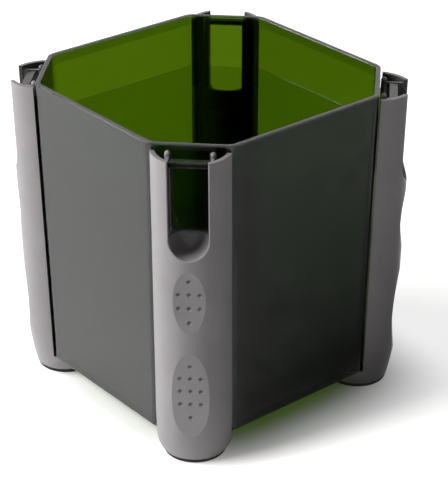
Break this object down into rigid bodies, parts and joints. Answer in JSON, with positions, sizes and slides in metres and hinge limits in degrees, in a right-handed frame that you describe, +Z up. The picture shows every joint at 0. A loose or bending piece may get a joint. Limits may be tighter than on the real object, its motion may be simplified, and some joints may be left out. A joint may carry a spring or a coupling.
{
  "type": "canister filter case",
  "caption": "Open square canister filter tank in translucent green plastic, with grey corner posts slotted for clamps and rubber feet.",
  "frame": {"origin": "on the floor under the middle of the case, level with the bottoms of the rubber feet", "axes": "+Z up the case's axis; X and Y square to the case's four sides; the front post stands at +X, -Y"},
  "size_m": [0.1774, 0.1774, 0.1935],
  "materials": {
    "green_case": "gloss",
    "grey_abs": "satin",
    "dark_insert": "gloss",
    "black_rubber": "matte"
  },
  "bodies": {
    "root": {"filter_case": "green_case", "corner_post_front": "grey_abs", "catch_bar_front": "dark_insert", "rubber_foot_front": "black_rubber", "corner_post_right": "grey_abs", "catch_bar_right": "dark_insert", "rubber_foot_right": "black_rubber", "corner_post_rear": "grey_abs", "catch_bar_rear": "dark_insert", "rubber_foot_rear": "black_rubber", "corner_post_left": "grey_abs", "catch_bar_left": "dark_insert", "rubber_foot_left": "black_rubber"}
  },
  "joints": []
}
